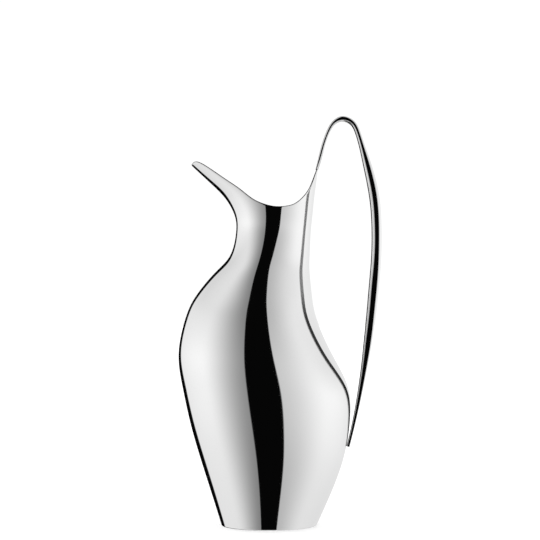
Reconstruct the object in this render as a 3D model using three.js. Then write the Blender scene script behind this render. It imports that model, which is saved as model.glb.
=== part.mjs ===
// Water pitcher in mirror-polished metal.
//
// Two pressed half shells meet edge to edge on the plane y = 0 and stand on a flat base plate.
// Their back runs up as a narrow tongue, and a forged bar rises from the tongue, loops over
// and comes down to lie along the back of the belly: the handle.
//
// Millimetres. +Z is up, the spout points to -X and the handle to +X. The origin is on the
// resting surface, under the middle of the foot.

import * as THREE from 'three';

// ---- Driving dimensions ----

const WALL = 1.2;              // sheet thickness of the half shells
const FIT_GAP = 0.3;           // gap between pieces that touch
const FOOT_HEIGHT = 2.6;       // base plate
const FOOT_EDGE = 0.7;         // radius of its rounded lower edge
const TONGUE_TOP = 309;        // where the shells stop and the handle begins
const ROOT_STEPS = 40;         // bisection steps when a place is looked up on a curve
const SPLINE_PASSES = 30;      // passes that settle a curve's control rows
const SLOPE_STEP = 1e-4;       // step along a curve when its direction is taken
const RIM_SCAN_FROM = 0.5;     // where the search for the rim starts up the body, and its step
const RIM_SCAN_STEP = 0.004;

const SHELL_COLUMNS = 28;      // faces from back to front of one half
const SHELL_ROWS = 30;         // faces from foot to rim
const COLUMN_CROWDING = 0.11;  // draws the columns towards the front and back edges
const FOOT_COLUMNS = 26;       // faces round one half of the base plate
const FOOT_ROUND_STEPS = 5;    // faces up the base plate's rounded edge
const HANDLE_RINGS = 72;       // sections along the handle
const HANDLE_SIDES = 16;       // faces round one section

// Body sections from foot to mouth. The body's curve passes through every row.
// [height, front x, back x, x of the widest point, half width across]
const BODY_SECTIONS = [
  [0, -42, 40.5, -1, 37],
  [30, -51.5, 54, 0, 47],
  [60, -61, 64.5, 0, 55],
  [90, -69.5, 69.5, -2, 60],
  [120, -76, 68, -5.5, 62],
  [150, -79.5, 53.5, -9.5, 62],
  [180, -73.5, 40.5, -11, 57],
  [200, -64, 36.5, -10, 50],
  [220, -47.5, 34.5, -7, 41],
  [235, -34.5, 34.5, -3, 35],
  [255, -29.5, 35.5, 1.5, 30],
  [270, -31, 37, 3, 30],
  [285, -39.5, 38.5, 3.5, 31],
  [300, -54.5, 40.5, 3, 30],
  [322, -78, 43, 3, 28],
];

// Rim seen from the side, from the tip of the spout to the foot of the handle: [x, z].
const RIM = [
  [-68, 311.5],
  [-66, 313.5],
  [-61, 313.5],
  [-49, 306],
  [-37.5, 298],
  [-26, 290],
  [-15, 281.5],
  [-3, 276.5],
  [7, 275],
  [17, 276],
  [24.5, 279.5],
  [31.5, 286.5],
  [36.5, 295.5],
  [41.5, TONGUE_TOP],
];

// Handle centre line in the plane y = 0, from the tongue to the belly, with the bar's section.
// Squareness is the section's exponent: 2 is an ellipse, higher is squarer.
// [x, z, thickness in the plane, width across, squareness]
const HANDLE = [
  [41, TONGUE_TOP + FIT_GAP, 1.5, 9, 4],
  [43.5, 319, 3, 10, 4],
  [46.5, 331, 3, 10, 4],
  [50.5, 342, 3, 11, 4],
  [55.5, 350, 3.5, 12, 4],
  [63, 353.5, 4.5, 13, 4],
  [70.5, 351, 4.5, 14, 4],
  [75.5, 344, 4.5, 14, 4],
  [80, 330, 5, 15, 4],
  [84.5, 314, 7, 16, 4],
  [90, 290, 8.5, 18, 4],
  [92.5, 265, 8.5, 18, 4],
  [92.5, 236, 8.5, 18, 4],
  [90.5, 209, 8.5, 18, 5],
  [88, 183, 8, 18, 5],
  [85, 158, 7, 16, 6],
  [81, 131, 5, 14, 6],
  [74.5, 96, 3, 11, 8],
  [68, 68.5, 2.5, 9, 8],
];

// ---- Curves ----

// Control rows of the cubic B-spline that passes through the given rows, straight at both ends.
function controlsThrough(rows) {
  const controls = [...rows];
  for (let pass = 0; pass < SPLINE_PASSES; pass += 1) {
    for (let i = 1; i + 1 < rows.length; i += 1) {
      const beside = (c) => controls[i - 1][c] + controls[i + 1][c];
      controls[i] = rows[i].map((value, c) => (6 * value - beside(c)) / 4);
    }
  }
  const beyond = (end, next) => end.map((value, c) => 2 * value - next[c]);
  return [beyond(controls[0], controls[1]), ...controls, beyond(controls.at(-1), controls.at(-2))];
}

// Point at t (0 to 1) of the uniform cubic B-spline with these control rows.
function splineRow(controls, t) {
  const spans = controls.length - 3;
  const at = THREE.MathUtils.clamp(t, 0, 1) * spans;
  const span = Math.min(Math.floor(at), spans - 1);
  const f = at - span;
  const weights = [
    (1 - f) ** 3,
    3 * f ** 3 - 6 * f ** 2 + 4,
    -3 * f ** 3 + 3 * f ** 2 + 3 * f + 1,
    f ** 3,
  ];
  const mixed = (c) => weights.reduce((sum, weight, i) => sum + weight * controls[span + i][c], 0) / 6;
  return controls[span].map((_, c) => mixed(c));
}

const BODY_CURVE = controlsThrough(BODY_SECTIONS);
const RIM_CURVE = controlsThrough(RIM);
const HANDLE_CURVE = controlsThrough(HANDLE);

// The t in [low, high] where a rising function of t reaches zero.
function risingRoot(rises, low, high) {
  for (let step = 0; step < ROOT_STEPS; step += 1) {
    const middle = (low + high) / 2;
    if (rises(middle) < 0) low = middle;
    else high = middle;
  }
  return (low + high) / 2;
}

// Height of the rim above x. Behind its last point the shells are cut flat for the handle.
function rimHeight(x) {
  if (x >= RIM.at(-1)[0]) return TONGUE_TOP;
  const t = risingRoot((s) => splineRow(RIM_CURVE, s)[0] - x, 0, 1);
  return splineRow(RIM_CURVE, t)[1];
}

// ---- Body surface: angle u runs from the back (0) to the front (PI), t from foot to mouth ----

function bodyPoint(u, t) {
  const [height, front, back, widest, halfWidth] = splineRow(BODY_CURVE, t);
  const reach = (back - front) / 2;
  const middle = (back + front) / 2;
  const centre = (middle + widest) / 2;
  const lean = (middle - widest) / 2;
  const x = centre + reach * Math.cos(u) + lean * Math.cos(2 * u);
  return new THREE.Vector3(x, -halfWidth * Math.sin(u), height);
}

function bodyNormal(u, t) {
  const along = bodyPoint(u + SLOPE_STEP, t).sub(bodyPoint(u - SLOPE_STEP, t));
  const up = bodyPoint(u, t + SLOPE_STEP).sub(bodyPoint(u, Math.max(t - SLOPE_STEP, 0)));
  return up.cross(along).normalize();
}

function bodyTAtHeight(height) {
  return risingRoot((t) => splineRow(BODY_CURVE, t)[0] - height, 0, 1);
}

// Where the column at angle u meets the rim.
function rimT(u) {
  const aboveRim = (t) => {
    const point = bodyPoint(u, t);
    return point.z - rimHeight(point.x);
  };
  let t = RIM_SCAN_FROM;
  while (aboveRim(t + RIM_SCAN_STEP) < 0) t += RIM_SCAN_STEP;
  return risingRoot(aboveRim, t, t + RIM_SCAN_STEP);
}

// ---- Closed solids from rings of points ----

function solidGeometry(points, triangles) {
  const geometry = new THREE.BufferGeometry();
  geometry.setAttribute('position', new THREE.Float32BufferAttribute(points.flatMap((p) => p.toArray()), 3));
  geometry.setIndex(triangles);
  geometry.computeVertexNormals();
  return geometry;
}

// Rings of equal length, joined one to the next and closed with a fan at each end.
// Each ring runs anticlockwise as seen from the last ring.
function loftGeometry(rings) {
  const sides = rings[0].length;
  const points = rings.flat();
  const triangles = [];
  for (let ring = 0; ring + 1 < rings.length; ring += 1) {
    for (let side = 0; side < sides; side += 1) {
      const next = (side + 1) % sides;
      const [a, b] = [ring * sides + side, ring * sides + next];
      triangles.push(a, b, b + sides, a, b + sides, a + sides);
    }
  }
  for (const [first, reversed] of [[0, true], [(rings.length - 1) * sides, false]]) {
    const centre = points.length;
    const middle = new THREE.Vector3();
    for (let side = 0; side < sides; side += 1) middle.addScaledVector(points[first + side], 1 / sides);
    points.push(middle);
    for (let side = 0; side < sides; side += 1) {
      const [a, b] = [first + side, first + ((side + 1) % sides)];
      triangles.push(centre, ...(reversed ? [b, a] : [a, b]));
    }
  }
  return solidGeometry(points, triangles);
}

// ---- Sub-parts ----

// One half of the body, on the side where y has the given sign: outer and inner skins,
// joined along the foot, the rim and the two straight weld edges on y = 0.
function halfShellGeometry(side) {
  const footT = bodyTAtHeight(FOOT_HEIGHT + FIT_GAP);
  const outer = [];
  const inner = [];
  for (let column = 0; column <= SHELL_COLUMNS; column += 1) {
    const share = column / SHELL_COLUMNS;
    const u = Math.PI * (share - COLUMN_CROWDING * Math.sin(2 * Math.PI * share));
    const onWeld = column === 0 || column === SHELL_COLUMNS;
    const topT = rimT(u);
    for (let row = 0; row <= SHELL_ROWS; row += 1) {
      const t = THREE.MathUtils.lerp(footT, topT, row / SHELL_ROWS);
      const point = bodyPoint(u, t);
      const inside = point.clone().addScaledVector(bodyNormal(u, t), -WALL);
      for (const [place, skin] of [[point, outer], [inside, inner]]) {
        place.y = onWeld ? 0 : -side * place.y;
        skin.push(place);
      }
    }
  }

  const triangles = [];
  const addFace = (a, b, c, d) => {
    triangles.push(...(side < 0 ? [a, b, c, a, c, d] : [c, b, a, d, c, a]));
  };
  const rows = SHELL_ROWS + 1;
  const skinSize = outer.length;
  for (let column = 0; column < SHELL_COLUMNS; column += 1) {
    const here = column * rows;
    const next = here + rows;
    for (let row = 0; row < SHELL_ROWS; row += 1) {
      addFace(here + row, here + row + 1, next + row + 1, next + row);
      const [within, beyond] = [skinSize + here + row, skinSize + next + row];
      addFace(beyond, beyond + 1, within + 1, within);
    }
    addFace(next, skinSize + next, skinSize + here, here);
    const [top, nextTop] = [here + SHELL_ROWS, next + SHELL_ROWS];
    addFace(top, skinSize + top, skinSize + nextTop, nextTop);
  }
  const last = SHELL_COLUMNS * rows;
  for (let row = 0; row < SHELL_ROWS; row += 1) {
    addFace(row, skinSize + row, skinSize + row + 1, row + 1);
    addFace(last + row + 1, skinSize + last + row + 1, skinSize + last + row, last + row);
  }
  return solidGeometry([...outer, ...inner], triangles);
}

// Flat plate with the outline of the body's foot and a quarter-round lower edge.
function basePlateGeometry() {
  const outline = (height, inset) => {
    const t = bodyTAtHeight(height);
    const ring = [];
    for (let column = 0; column < 2 * FOOT_COLUMNS; column += 1) {
      const u = -Math.PI * (column / FOOT_COLUMNS);
      const outward = bodyNormal(u, t).setZ(0).normalize();
      const point = bodyPoint(u, t).addScaledVector(outward, -inset);
      point.z = height;
      ring.push(point);
    }
    return ring;
  };
  const rings = [];
  for (let step = 0; step <= FOOT_ROUND_STEPS; step += 1) {
    const turn = (Math.PI / 2) * (step / FOOT_ROUND_STEPS);
    rings.push(outline(FOOT_EDGE * (1 - Math.cos(turn)), FOOT_EDGE * (1 - Math.sin(turn))));
  }
  rings.push(outline(FOOT_HEIGHT, 0));
  return loftGeometry(rings);
}

// Forged bar: rounded-square sections across the centre line.
function handleGeometry() {
  const rings = [];
  for (let ring = 0; ring <= HANDLE_RINGS; ring += 1) {
    const t = ring / HANDLE_RINGS;
    const [x, z, thickness, width, squareness] = splineRow(HANDLE_CURVE, t);
    const [aheadX, aheadZ] = splineRow(HANDLE_CURVE, Math.min(t + SLOPE_STEP, 1));
    const [behindX, behindZ] = splineRow(HANDLE_CURVE, Math.max(t - SLOPE_STEP, 0));
    const along = new THREE.Vector2(aheadX - behindX, aheadZ - behindZ).normalize();
    const section = [];
    for (let side = 0; side < HANDLE_SIDES; side += 1) {
      const angle = (2 * Math.PI * side) / HANDLE_SIDES;
      const square = (value) => Math.sign(value) * Math.abs(value) ** (2 / squareness);
      const out = (thickness / 2) * square(Math.cos(angle));
      const across = (width / 2) * square(Math.sin(angle));
      section.push(new THREE.Vector3(x + out * along.y, across, z - out * along.x));
    }
    rings.push(section);
  }
  return loftGeometry(rings);
}

// ---- Assembly ----

function polishedMetal(colour, roughness) {
  return new THREE.MeshStandardMaterial({ color: colour, roughness, metalness: 1 });
}

function addPiece(group, name, geometry, material) {
  const mesh = new THREE.Mesh(geometry, material);
  mesh.name = name;
  group.add(mesh);
}

const pitcher = new THREE.Group();
pitcher.name = 'water_pitcher';
addPiece(pitcher, 'body_left_half', halfShellGeometry(-1), polishedMetal(0xd9dadb, 0.05));
addPiece(pitcher, 'body_right_half', halfShellGeometry(1), polishedMetal(0xd9dadb, 0.05));
addPiece(pitcher, 'base_plate', basePlateGeometry(), polishedMetal(0xcfd0d2, 0.25));
addPiece(pitcher, 'handle', handleGeometry(), polishedMetal(0xd6d7d9, 0.06));

export default pitcher;
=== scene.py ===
# Water pitcher in mirror-polished metal, photographed in a light tent.
#
# The shapes repeat the CAD model's sections, in millimetres, and are built again here as
# fine meshes with normals taken from the curves. +Z is up, the spout points to -X, the handle to +X.

import math

import bpy
import numpy as np
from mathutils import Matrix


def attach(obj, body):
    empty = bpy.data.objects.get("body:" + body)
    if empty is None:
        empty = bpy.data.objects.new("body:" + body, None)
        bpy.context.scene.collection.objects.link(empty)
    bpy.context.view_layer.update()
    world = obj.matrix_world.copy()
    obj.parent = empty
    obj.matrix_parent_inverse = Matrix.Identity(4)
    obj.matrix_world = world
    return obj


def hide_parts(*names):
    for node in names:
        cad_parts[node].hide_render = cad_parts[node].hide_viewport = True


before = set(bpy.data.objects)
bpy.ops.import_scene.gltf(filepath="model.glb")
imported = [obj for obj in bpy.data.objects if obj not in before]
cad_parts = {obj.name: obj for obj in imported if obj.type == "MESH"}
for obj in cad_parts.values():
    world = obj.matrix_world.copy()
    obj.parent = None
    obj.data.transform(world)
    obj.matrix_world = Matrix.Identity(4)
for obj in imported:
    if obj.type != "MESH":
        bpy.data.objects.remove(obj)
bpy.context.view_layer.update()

MM = 0.001

# ---- Driving dimensions of the pitcher, millimetres ----

WALL = 1.2             # sheet thickness
FOOT_HEIGHT = 2.6      # base plate
FOOT_EDGE = 0.7        # radius of its rounded lower edge
TONGUE_TOP = 309       # where the shells stop and the handle begins
RIM_ROUND = 1.5        # how far the rounded rim rises above the sheet's edge

# The curves pass through every row of these tables.
# [height, front x, back x, x of the widest point, half width across]
BODY_SECTIONS = [
    [0, -42, 40.5, -1, 37],
    [30, -51.5, 54, 0, 47],
    [60, -61, 64.5, 0, 55],
    [90, -69.5, 69.5, -2, 60],
    [120, -76, 68, -5.5, 62],
    [150, -79.5, 53.5, -9.5, 62],
    [180, -73.5, 40.5, -11, 57],
    [200, -64, 36.5, -10, 50],
    [220, -47.5, 34.5, -7, 41],
    [235, -34.5, 34.5, -3, 35],
    [255, -29.5, 35.5, 1.5, 30],
    [270, -31, 37, 3, 30],
    [285, -39.5, 38.5, 3.5, 31],
    [300, -54.5, 40.5, 3, 30],
    [322, -78, 43, 3, 28],
]

# Rim seen from the side, from the tip of the spout to the foot of the handle: [x, z]
RIM = [
    [-68, 311.5],
    [-66, 313.5],
    [-61, 313.5],
    [-49, 306],
    [-37.5, 298],
    [-26, 290],
    [-15, 281.5],
    [-3, 276.5],
    [7, 275],
    [17, 276],
    [24.5, 279.5],
    [31.5, 286.5],
    [36.5, 295.5],
    [41.5, TONGUE_TOP],
]

# Handle centre line in the plane y = 0: [x, z, thickness, width across, squareness, cupping]
# Squareness is the section's exponent: 2 is an ellipse, higher is squarer.
# Cupping is how far the section's edges bend away from the inside of the loop.
HANDLE = [
    [41, TONGUE_TOP, 1.5, 9, 4, 1],
    [43.5, 319, 3, 10, 4, 0.3],
    [46.5, 331, 3, 10, 4, 0],
    [50.5, 342, 3, 11, 4, 0],
    [55.5, 350, 3.5, 12, 4, 0],
    [63, 353.5, 4.5, 13, 4, 0],
    [70.5, 351, 4.5, 14, 4, 0],
    [75.5, 344, 4.5, 14, 4, 0],
    [80, 330, 5, 15, 4, 0],
    [84.5, 314, 7, 16, 4, 0],
    [90, 290, 8.5, 18, 4, 0],
    [92.5, 265, 8.5, 18, 4, 0],
    [92.5, 236, 8.5, 18, 4, 0],
    [90.5, 209, 8.5, 18, 5, 0],
    [88, 183, 8, 18, 5, 0],
    [85, 158, 7, 16, 6, 0],
    [81, 131, 5, 14, 6, 0],
    [74.5, 96, 3, 11, 8, 0],
    [68, 68.5, 2.5, 9, 8, 0],
]

# ---- Mesh fineness ----

SHELL_COLUMNS = 110
SHELL_ROWS = 180
COLUMN_CROWDING = 0.12
RIM_STEPS = 8
FOOT_COLUMNS = 180
FOOT_STEPS = 10
HANDLE_RINGS = 420
HANDLE_SIDES = 72
INNER_FACE_HALF = 33   # degrees of the section, either side of the inmost line, given the painted gap shade
SPLINE_PASSES = 30     # passes that settle a curve's control rows
SLOPE_STEP = 1e-4      # step along a curve when its direction is taken
ROOT_STEPS = 45        # halvings when a place is looked up on a curve
RIM_SCAN_FROM = 0.5    # where the search for the rim starts up the body
RIM_SCAN_COUNT = 1001  # places tried from there to the mouth
RIM_SAMPLE_COUNT = 4001

# ---- Underside of the base plate, as shares of the foot's outline ----

BEARING_INNER = 0.9    # the flat bearing edge ends here
RECESS_OUTER = 0.88    # and the shallow recess starts here
RECESS_RINGS = (0.6, 0.3)
RECESS_DEPTH = 0.4     # millimetres


# ---- Curves and surfaces, in millimetres ----

def controls_through(rows):
    """Control rows of the cubic B-spline that passes through the given rows."""
    rows = np.array(rows, float)
    controls = rows.copy()
    for _ in range(SPLINE_PASSES):
        for i in range(1, len(rows) - 1):
            controls[i] = (6 * rows[i] - controls[i - 1] - controls[i + 1]) / 4
    before = 2 * controls[0] - controls[1]
    after = 2 * controls[-1] - controls[-2]
    return np.vstack([before, controls, after])


def spline(controls, t):
    """Points at t (an array, 0 to 1) of the uniform cubic B-spline with these control rows."""
    spans = len(controls) - 3
    at = np.clip(np.asarray(t, float), 0, 1) * spans
    span = np.minimum(at.astype(int), spans - 1)
    f = (at - span)[..., None]
    weights = (
        (1 - f) ** 3,
        3 * f ** 3 - 6 * f ** 2 + 4,
        -3 * f ** 3 + 3 * f ** 2 + 3 * f + 1,
        f ** 3,
    )
    return sum(weight * controls[span + i] for i, weight in enumerate(weights)) / 6


BODY_CURVE = controls_through(BODY_SECTIONS)
RIM_CURVE = controls_through(RIM)
HANDLE_CURVE = controls_through(HANDLE)


def unit(vectors):
    return vectors / np.linalg.norm(vectors, axis=-1, keepdims=True)


def rising_root(function, low, high):
    """Bisection for many roots at once: function rises through zero between low and high."""
    low, high = np.array(low, float), np.array(high, float)
    for _ in range(ROOT_STEPS):
        middle = (low + high) / 2
        below = function(middle) < 0
        low = np.where(below, middle, low)
        high = np.where(below, high, middle)
    return (low + high) / 2


def body_point(u, t):
    """u runs from the back (0) to the front (pi) of the near half, t from foot to mouth."""
    u, t = np.broadcast_arrays(np.asarray(u, float), np.asarray(t, float))
    height, front, back, widest, half_width = np.moveaxis(spline(BODY_CURVE, t), -1, 0)
    reach = (back - front) / 2
    middle = (back + front) / 2
    centre = (middle + widest) / 2
    lean = (middle - widest) / 2
    x = centre + reach * np.cos(u) + lean * np.cos(2 * u)
    return np.stack([x, -half_width * np.sin(u), height], -1)


def body_normal(u, t):
    along = body_point(u + SLOPE_STEP, t) - body_point(u - SLOPE_STEP, t)
    low, high = np.maximum(t - SLOPE_STEP, 0), np.minimum(t + SLOPE_STEP, 1)
    up = body_point(u, high) - body_point(u, low)
    return unit(np.cross(up, along))


def body_t_at_height(height):
    return rising_root(lambda t: spline(BODY_CURVE, t)[..., 0] - height, 0.0, 1.0)


RIM_SAMPLES = spline(RIM_CURVE, np.linspace(0, 1, RIM_SAMPLE_COUNT))


def rim_height(x):
    return np.interp(x, RIM_SAMPLES[:, 0], RIM_SAMPLES[:, 1])


def rim_t(u):
    """Where the columns at angles u meet the rim."""
    def above(t):
        point = body_point(u, t)
        return point[..., 2] - rim_height(point[..., 0])
    scan = np.linspace(RIM_SCAN_FROM, 1, RIM_SCAN_COUNT)
    over = np.stack([above(np.full_like(u, t)) for t in scan]) >= 0
    first = over.argmax(axis=0)
    return rising_root(above, scan[first - 1], scan[first])


# ---- Meshes ----

def make_object(name, points, faces, face_normals, materials, face_materials=None):
    """A mesh piece in metres. face_normals holds the normal at each face's corners."""
    mesh = bpy.data.meshes.new(name)
    mesh.from_pydata((np.asarray(points) * MM).tolist(), [], [list(f) for f in faces])
    mesh.polygons.foreach_set("use_smooth", [True] * len(faces))
    for material in materials:
        mesh.materials.append(material)
    if face_materials is not None:
        mesh.polygons.foreach_set("material_index", face_materials)
    corner_normals = [normal for corners in face_normals for normal in corners]
    mesh.normals_split_custom_set([tuple(float(v) for v in n) for n in corner_normals])
    mesh.update()
    piece = bpy.data.objects.new(name, mesh)
    bpy.context.scene.collection.objects.link(piece)
    return piece


def half_shell(name, side, materials):
    """One half of the body on the side of y's sign: a closed solid with a rounded rim."""
    share = np.linspace(0, 1, SHELL_COLUMNS + 1)
    u = math.pi * (share - COLUMN_CROWDING * np.sin(2 * math.pi * share))
    foot_t = body_t_at_height(FOOT_HEIGHT)
    top_t = rim_t(u)
    rise = np.linspace(0, 1, SHELL_ROWS + 1)
    t = foot_t + (top_t[:, None] - foot_t) * rise
    grid_u = np.broadcast_to(u[:, None], t.shape)
    outer = body_point(grid_u, t)
    normal = body_normal(grid_u, t)
    inner = outer - WALL * normal
    inner[:, 0, 2] = FOOT_HEIGHT

    rim_edge = (outer[:, -1] + inner[:, -1]) / 2
    along = np.gradient(rim_edge, axis=0)
    raised = unit(np.cross(along, normal[:, -1]))
    raised *= np.sign(raised[:, 2:3])
    on_cut = outer[:, -1, 2] > TONGUE_TOP - 0.01
    on_cut &= outer[:, -1, 0] > 0
    turn = np.linspace(0, math.pi, RIM_STEPS + 1)[1:-1]
    lift = np.where(on_cut, 0.0, RIM_ROUND)[:, None, None]
    round_points = (
        rim_edge[:, None]
        + WALL / 2 * np.cos(turn)[None, :, None] * normal[:, -1][:, None]
        + lift * np.sin(turn)[None, :, None] * raised[:, None]
    )
    round_normals = unit(
        RIM_ROUND * np.cos(turn)[None, :, None] * normal[:, -1][:, None]
        + WALL / 2 * np.sin(turn)[None, :, None] * raised[:, None]
    )

    profile = np.concatenate([outer, round_points, inner[:, ::-1]], axis=1)
    normals = np.concatenate([normal, round_normals, -normal[:, ::-1]], axis=1)
    profile[0, :, 1] = profile[-1, :, 1] = 0
    normals[0, :, 1] = normals[-1, :, 1] = 0
    normals = unit(normals)
    if side > 0:
        profile[..., 1] *= -1
        normals[..., 1] *= -1

    columns, length = profile.shape[:2]
    points = profile.reshape(-1, 3)
    flat_normals = normals.reshape(-1, 3)
    faces, corners, kinds = [], [], []

    def add(face, given=None, kind=0):
        face = list(face) if side < 0 else list(face)[::-1]
        faces.append(face)
        corners.append([flat_normals[v] for v in face] if given is None else [given] * len(face))
        kinds.append(kind)

    inside_from = SHELL_ROWS + RIM_STEPS - 1
    for column in range(columns - 1):
        here, there = column * length, (column + 1) * length
        for k in range(length - 1):
            kind = 1 if k > inside_from else 0
            # The faces round the rim take the third material, painted near black as shade.
            if SHELL_ROWS + 1 < k < inside_from:
                kind = 2
            add((here + k, here + k + 1, there + k + 1, there + k), kind=kind)
        add((here + length - 1, here, there, there + length - 1), given=(0, 0, -1))
    weld = (0, -side, 0)
    for start, flip in ((0, True), ((columns - 1) * length, False)):
        for k in range(length // 2):
            ring = (start + k, start + k + 1, start + length - 2 - k, start + length - 1 - k)
            if len(set(ring)) < 4:
                ring = tuple(dict.fromkeys(ring))
            if len(ring) > 2:
                add(ring[::-1] if flip else ring, given=weld)
    return make_object(name, points, faces, corners, materials, kinds)


def base_plate(name, materials):
    """Flat plate under the shells, its lower edge rounded, its underside turned in rings."""
    angles = -2 * math.pi * np.arange(FOOT_COLUMNS) / FOOT_COLUMNS
    rings, ring_normals = [], []
    levels = [(FOOT_HEIGHT, math.pi / 2)]
    for turn in np.linspace(math.pi / 2, 0, FOOT_STEPS + 1):
        levels.append((FOOT_EDGE * (1 - math.cos(turn)), turn))
    for height, turn in levels:
        t = np.full_like(angles, body_t_at_height(height))
        outward = body_normal(angles, t)
        flat = unit(outward * [1, 1, 0])
        place = body_point(angles, t) - FOOT_EDGE * (1 - math.sin(turn)) * flat
        place[:, 2] = height
        rings.append(place)
        side = math.sin(turn)
        ring_normals.append(unit(outward * side + np.array([0, 0, -1.0]) * math.cos(turn)))
    underside = rings[-1]
    for share in (BEARING_INNER, RECESS_OUTER, *RECESS_RINGS):
        place = underside * [share, share, 1]
        place[:, 2] = 0 if share == BEARING_INNER else RECESS_DEPTH
        rings.append(place)
        ring_normals.append(np.tile([0, 0, -1.0], (FOOT_COLUMNS, 1)))
    points = np.concatenate(rings)
    normals = np.concatenate(ring_normals)
    faces, corners, kinds = [], [], []
    for ring in range(len(rings) - 1):
        for k in range(FOOT_COLUMNS):
            a, b = ring * FOOT_COLUMNS + k, ring * FOOT_COLUMNS + (k + 1) % FOOT_COLUMNS
            face = [a, a + FOOT_COLUMNS, b + FOOT_COLUMNS, b]
            faces.append(face)
            corners.append([normals[v] for v in face])
            kinds.append(0 if ring <= FOOT_STEPS else 1)
    top = list(range(FOOT_COLUMNS))
    bottom = list(range(len(points) - FOOT_COLUMNS, len(points)))[::-1]
    for face, up, kind in ((top, 1.0, 1), (bottom, -1.0, 1)):
        faces.append(face)
        corners.append([(0, 0, up)] * len(face))
        kinds.append(kind)
    return make_object(name, points, faces, corners, materials, kinds)


def handle_bar(name, materials):
    """Bar of rounded-square section along the centre line, closed flat at both ends."""
    t = np.linspace(0, 1, HANDLE_RINGS + 1)
    rows = spline(HANDLE_CURVE, t)
    ahead = spline(HANDLE_CURVE, np.minimum(t + SLOPE_STEP, 1))[:, :2]
    behind = spline(HANDLE_CURVE, np.maximum(t - SLOPE_STEP, 0))[:, :2]
    along = unit(ahead - behind)
    angle = 2 * math.pi * np.arange(HANDLE_SIDES) / HANDLE_SIDES
    x, z, thickness, width, squareness, cup = (rows[:, i:i + 1] for i in range(6))
    out_share = np.sign(np.cos(angle)) * np.abs(np.cos(angle)) ** (2 / squareness)
    across_share = np.sign(np.sin(angle)) * np.abs(np.sin(angle)) ** (2 / squareness)
    out = thickness / 2 * out_share - cup * across_share ** 2
    across = width / 2 * np.broadcast_to(across_share, out.shape)
    points = np.stack([x + out * along[:, 1:2], across, z - out * along[:, 0:1]], -1)

    round_ring = np.roll(points, -1, axis=1) - np.roll(points, 1, axis=1)
    lengthwise = np.gradient(points, axis=0)
    normals = unit(np.cross(round_ring, lengthwise))
    rings = HANDLE_RINGS + 1
    grid = points.reshape(-1, 3)
    flat_normals = normals.reshape(-1, 3)
    faces, corners, kinds = [], [], []
    for ring in range(rings - 1):
        for k in range(HANDLE_SIDES):
            a, b = ring * HANDLE_SIDES + k, ring * HANDLE_SIDES + (k + 1) % HANDLE_SIDES
            face = [a, b, b + HANDLE_SIDES, a + HANDLE_SIDES]
            faces.append(face)
            corners.append([flat_normals[v] for v in face])
            # Faces near the inmost line take the second material, which carries painted shade.
            from_inner = min(k + 0.5, HANDLE_SIDES - k - 0.5) * 360 / HANDLE_SIDES
            kinds.append(1 if from_inner < INNER_FACE_HALF else 0)
    first = list(range(HANDLE_SIDES))[::-1]
    last = list(range((rings - 1) * HANDLE_SIDES, rings * HANDLE_SIDES))
    for face, way in ((first, -1), (last, 1)):
        faces.append(face)
        direction = along[0 if way < 0 else -1] * way
        corners.append([(direction[0], 0, direction[1])] * len(face))
        kinds.append(0)
    return make_object(name, grid, faces, corners, materials, kinds)


# ---- Materials ----

TURNED_RINGS = 400                       # wave scale: one ring about every 0.8 mm
PAINTED_SHADE_FULL, PAINTED_SHADE_GONE = 0.195, 0.225    # heights in metres where the painted shade on the gap side fades out
PAINTED_SHADE_WANDER = 0.01


def math_node(tree, operation, *values):
    node = tree.nodes.new("ShaderNodeMath")
    node.operation = operation
    for socket, value in zip(node.inputs, values):
        if isinstance(value, (int, float)):
            socket.default_value = value
        else:
            tree.links.new(value, socket)
    return node.outputs[0]


def blend_colours(tree, share, first, second):
    node = tree.nodes.new("ShaderNodeMix")
    node.data_type = "RGBA"
    tree.links.new(share, node.inputs["Factor"])
    for socket, value in ((node.inputs[6], first), (node.inputs[7], second)):
        if isinstance(value, float):
            socket.default_value = (value, value, value, 1)
        elif isinstance(value, tuple):
            socket.default_value = value
        else:
            tree.links.new(value, socket)
    return node.outputs[2]


def smooth_share(tree, value, start, end):
    node = tree.nodes.new("ShaderNodeMapRange")
    node.interpolation_type = "SMOOTHSTEP"
    node.inputs["From Min"].default_value = start
    node.inputs["From Max"].default_value = end
    tree.links.new(value, node.inputs["Value"])
    return node.outputs["Result"]


def node_material(name):
    material = bpy.data.materials.new(name)
    material.use_nodes = True
    nodes = material.node_tree.nodes
    nodes.clear()
    output = nodes.new("ShaderNodeOutputMaterial")
    shader = nodes.new("ShaderNodeBsdfPrincipled")
    material.node_tree.links.new(shader.outputs["BSDF"], output.inputs["Surface"])
    return material, material.node_tree, shader


def mapped_noise(tree, scale, detail, stretch=(1, 1, 1)):
    """Noise in object space, stretched along the axes; returns its value socket."""
    place = tree.nodes.new("ShaderNodeTexCoord")
    mapping = tree.nodes.new("ShaderNodeMapping")
    mapping.inputs["Scale"].default_value = stretch
    noise = tree.nodes.new("ShaderNodeTexNoise")
    noise.inputs["Scale"].default_value = scale
    noise.inputs["Detail"].default_value = detail
    tree.links.new(place.outputs["Object"], mapping.inputs["Vector"])
    tree.links.new(mapping.outputs["Vector"], noise.inputs["Vector"])
    return noise.outputs["Fac"]


def ranged(tree, value, low, high):
    """Maps a 0 to 1 value to low to high."""
    node = tree.nodes.new("ShaderNodeMapRange")
    node.inputs["To Min"].default_value = low
    node.inputs["To Max"].default_value = high
    tree.links.new(value, node.inputs["Value"])
    return node.outputs["Result"]


def bump(tree, shader, height, strength, distance):
    node = tree.nodes.new("ShaderNodeBump")
    node.inputs["Strength"].default_value = strength
    node.inputs["Distance"].default_value = distance
    tree.links.new(height, node.inputs["Height"])
    tree.links.new(node.outputs["Normal"], shader.inputs["Normal"])


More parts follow.
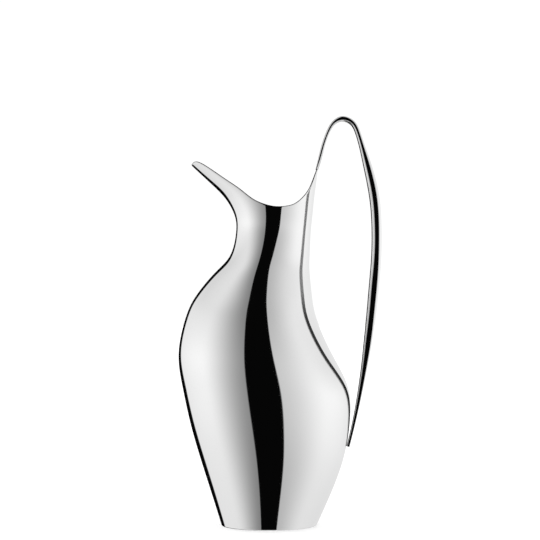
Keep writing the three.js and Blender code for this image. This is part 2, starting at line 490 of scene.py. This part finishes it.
def mirror_polish(name, colour):
    """Buffed metal: a clear mirror with faint clouding and the grain of the buffing wheel."""
    material, tree, shader = node_material(name)
    shader.inputs["Metallic"].default_value = 1.0
    dull, clear = ((*(part * share for part in colour), 1) for share in (0.985, 1.01))
    cloud = mapped_noise(tree, scale=14, detail=4)
    tree.links.new(blend_colours(tree, cloud, dull, clear), shader.inputs["Base Color"])
    grain = mapped_noise(tree, scale=90, detail=5, stretch=(1, 1, 0.12))
    tree.links.new(ranged(tree, grain, 0.02, 0.065), shader.inputs["Roughness"])
    return material


def satin_metal(name, colour, stretch, roughness):
    """Brushed metal whose fine lines run along the axis that stretch shortens."""
    material, tree, shader = node_material(name)
    shader.inputs["Metallic"].default_value = 1.0
    shader.inputs["Base Color"].default_value = (*colour, 1)
    grain = mapped_noise(tree, scale=700, detail=3, stretch=stretch)
    low, high = roughness
    tree.links.new(ranged(tree, grain, low, high), shader.inputs["Roughness"])
    bump(tree, shader, grain, strength=0.25, distance=0.00004)
    return material


def turned_metal(name, colour):
    """Faced on a lathe: fine rings round the upright axis."""
    material, tree, shader = node_material(name)
    shader.inputs["Metallic"].default_value = 1.0
    place = tree.nodes.new("ShaderNodeTexCoord")
    rings = tree.nodes.new("ShaderNodeTexWave")
    rings.wave_type = "RINGS"
    rings.rings_direction = "Z"
    rings.inputs["Scale"].default_value = TURNED_RINGS
    rings.inputs["Distortion"].default_value = 0.6
    rings.inputs["Detail"].default_value = 3
    tree.links.new(place.outputs["Object"], rings.inputs["Vector"])
    ring = rings.outputs["Fac"]
    groove, crest = ((*(part * share for part in colour), 1) for share in (0.86, 1.04))
    tree.links.new(blend_colours(tree, ring, groove, crest), shader.inputs["Base Color"])
    tree.links.new(ranged(tree, ring, 0.36, 0.24), shader.inputs["Roughness"])
    bump(tree, shader, ring, strength=0.3, distance=0.00003)
    return material


def painted_gap_shade_metal(name):
    """Painted shade on the handle's side towards the body: dark grey above, near black low in the gap.
    """
    material, tree, shader = node_material(name)
    shader.inputs["Metallic"].default_value = 1.0
    place = tree.nodes.new("ShaderNodeTexCoord")
    parts = tree.nodes.new("ShaderNodeSeparateXYZ")
    tree.links.new(place.outputs["Object"], parts.inputs["Vector"])
    # Painted shade: the noise moves the edge between near black and dark grey, and sets the roughness.
    shade_edge_noise = mapped_noise(tree, scale=60, detail=4, stretch=(1, 1, 0.3))
    height = math_node(tree, "MULTIPLY_ADD", shade_edge_noise, PAINTED_SHADE_WANDER, parts.outputs["Z"])
    clear = smooth_share(tree, height, PAINTED_SHADE_FULL + PAINTED_SHADE_WANDER / 2, PAINTED_SHADE_GONE + PAINTED_SHADE_WANDER / 2)
    colour = blend_colours(tree, clear, (0.05, 0.05, 0.05, 1), (0.36, 0.36, 0.36, 1))
    tree.links.new(colour, shader.inputs["Base Color"])
    tree.links.new(ranged(tree, shade_edge_noise, 0.18, 0.3), shader.inputs["Roughness"])
    return material


# ---- Studio ----

TENT_RADIUS = 9.0
TENT_CENTRE = (0, 0, 0.15)

# Brightness of the tent's cloth: least beside the camera's opening, most at the sides.
NEAR_LEFT, NEAR_RIGHT = 0.3, 0.65      # beside the opening, to its left and its right
NEAR_SOFT = 1                          # degrees over which the one passes into the other
SIDE_LIGHT = 1.05                      # square to the pitcher's left and right
BACK_LIGHT = 0.85                      # behind it
SIDE_FROM, SIDE_FULL = 15, 85          # degrees round from the camera over which it brightens
LOW_LIGHT, HIGH_LIGHT = 0.8, 0.8       # share of the level brightness seen from low and high
LOW_VIEW, HIGH_VIEW = -44, 32          # degrees of elevation at which it has fallen to those
FLOOR_FROM, FLOOR_FULL = -56, -64      # the bright sweep straight below
SLOT_HALF = 20                         # the dark opening that the camera looks through
SLOT_SOFT = 0.8
# A black flag stands behind the pitcher. Its edges are degrees left of straight behind.
FLAG_RIGHT, FLAG_LEFT = 3, 35
FLAG_SLANT = -0.35                     # the left edge moves this much for each degree up
FLAG_SOFT = 1.5
DARK = 0.002

FLOOR_GLOW = 0.3    # lifts the contact shade under the foot, as a lit acrylic table does

CAMERA_DISTANCE = 1.650
CAMERA_HEIGHT = 0.222
VIEW_WIDTH = 0.47        # width of the picture at the pitcher's own plane
SENSOR_WIDTH = 36


def tent_material():
    material = bpy.data.materials.new("tent_light")
    material.use_nodes = True
    tree = material.node_tree
    tree.nodes.clear()
    place = tree.nodes.new("ShaderNodeTexCoord")
    parts = tree.nodes.new("ShaderNodeSeparateXYZ")
    tree.links.new(place.outputs["Object"], parts.inputs["Vector"])
    x, y, z = parts.outputs
    turn = math_node(tree, "ARCTAN2", x, math_node(tree, "MULTIPLY", y, -1.0))
    bearing = math_node(tree, "MULTIPLY", turn, 180 / math.pi)
    sine = math_node(tree, "DIVIDE", z, TENT_RADIUS)
    elevation = math_node(tree, "MULTIPLY", math_node(tree, "ARCSINE", sine), 180 / math.pi)

    beside = math_node(tree, "ABSOLUTE", bearing)
    near = blend_colours(tree, smooth_share(tree, bearing, -NEAR_SOFT, NEAR_SOFT), NEAR_LEFT, NEAR_RIGHT)
    toward_side = smooth_share(tree, beside, SIDE_FROM, SIDE_FULL)
    colour = blend_colours(tree, toward_side, near, SIDE_LIGHT)
    toward_back = smooth_share(tree, beside, SIDE_FULL, 180)
    colour = blend_colours(tree, toward_back, colour, BACK_LIGHT)
    for reach, share in ((LOW_VIEW, LOW_LIGHT), (HIGH_VIEW, HIGH_LIGHT)):
        dimmed = tree.nodes.new("ShaderNodeVectorMath")
        dimmed.operation = "SCALE"
        dimmed.inputs["Scale"].default_value = share
        tree.links.new(colour, dimmed.inputs[0])
        toward = smooth_share(tree, elevation, 0, reach)
        colour = blend_colours(tree, toward, colour, dimmed.outputs[0])

    slot = smooth_share(tree, beside, SLOT_HALF + SLOT_SOFT, SLOT_HALF - SLOT_SOFT)
    colour = blend_colours(tree, slot, colour, DARK)

    behind = math_node(tree, "ARCTAN2", math_node(tree, "MULTIPLY", x, -1.0), y)
    leftward = math_node(tree, "MULTIPLY", behind, 180 / math.pi)
    left_edge = math_node(tree, "MULTIPLY_ADD", elevation, FLAG_SLANT, FLAG_LEFT)
    past_left = math_node(tree, "SUBTRACT", leftward, left_edge)
    inside_left = smooth_share(tree, past_left, FLAG_SOFT, -FLAG_SOFT)
    inside_right = smooth_share(tree, leftward, FLAG_RIGHT - FLAG_SOFT, FLAG_RIGHT + FLAG_SOFT)
    flag = math_node(tree, "MULTIPLY", inside_left, inside_right)
    colour = blend_colours(tree, flag, colour, DARK)

    colour = blend_colours(tree, smooth_share(tree, elevation, FLOOR_FROM, FLOOR_FULL), colour, 0.8)
    emission = tree.nodes.new("ShaderNodeEmission")
    output = tree.nodes.new("ShaderNodeOutputMaterial")
    tree.links.new(colour, emission.inputs["Color"])
    tree.links.new(emission.outputs[0], output.inputs["Surface"])
    return material


def light_tent():
    """A wide ball of soft light round everything, seen only in reflections."""
    bpy.ops.mesh.primitive_uv_sphere_add(
        segments=192, ring_count=96, radius=TENT_RADIUS, location=TENT_CENTRE)
    tent = bpy.context.object
    tent.name = "light_tent"
    tent.data.materials.append(tent_material())
    tent.visible_camera = False
    tent.visible_diffuse = False
    tent.visible_shadow = False


def pale_floor():
    bpy.ops.mesh.primitive_plane_add(size=12, location=(0, 0, 0))
    floor = bpy.context.object
    floor.name = "floor"
    material, tree, shader = node_material("pale_floor")
    shader.inputs["Base Color"].default_value = (0.97, 0.97, 0.97, 1)
    shader.inputs["Roughness"].default_value = 0.9
    shader.inputs["Specular IOR Level"].default_value = 0.0
    shader.inputs["Emission Color"].default_value = (1, 1, 1, 1)
    shader.inputs["Emission Strength"].default_value = FLOOR_GLOW
    floor.data.materials.append(material)
    floor.visible_glossy = False


def white_world():
    world = bpy.data.worlds.new("white")
    world.use_nodes = True
    world.node_tree.nodes["Background"].inputs["Color"].default_value = (1, 1, 1, 1)
    world.node_tree.nodes["Background"].inputs["Strength"].default_value = 1.04
    bpy.context.scene.world = world


def camera():
    data = bpy.data.cameras.new("camera")
    data.sensor_width = SENSOR_WIDTH
    data.lens = SENSOR_WIDTH * CAMERA_DISTANCE / VIEW_WIDTH
    data.clip_start = 0.05
    data.clip_end = 60
    view = bpy.data.objects.new("camera", data)
    view.location = (0, -CAMERA_DISTANCE, CAMERA_HEIGHT)
    view.rotation_euler = (math.pi / 2, 0, 0)
    bpy.context.scene.collection.objects.link(view)
    bpy.context.scene.camera = view


# ---- Assembly ----

def stand_in(piece, node):
    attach(piece, "root")
    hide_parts(node)


camera()
white_world()
light_tent()
pale_floor()
bpy.context.scene.view_settings.view_transform = "Standard"

bright = mirror_polish("bright_polish", (0.88, 0.88, 0.88))
satin_inside = satin_metal("satin_inside", (0.82, 0.82, 0.82), (1, 1, 0.04), (0.16, 0.26))
turned = turned_metal("turned_base", (0.78, 0.78, 0.78))
# The rounded rim is painted near black: a painted shade line along the rim's edge.
painted_rim_shade = satin_metal("painted_rim_shade", (0.07, 0.07, 0.07), (1, 1, 1), (0.2, 0.3))
# Painted shade for the handle's side towards the body.
gap_shade_material = painted_gap_shade_metal("gap_side_painted_shade")

shell_materials = [bright, satin_inside, painted_rim_shade]
for name, side in (("left", -1), ("right", 1)):
    shell = half_shell(f"body_{name}", side, shell_materials)
    stand_in(shell, f"body_{name}_half")
stand_in(base_plate("foot_plate", [bright, turned]), "base_plate")
# The handle's side towards the body is painted with shade, darkest low in the gap.
stand_in(handle_bar("handle_bar", [bright, gap_shade_material]), "handle")
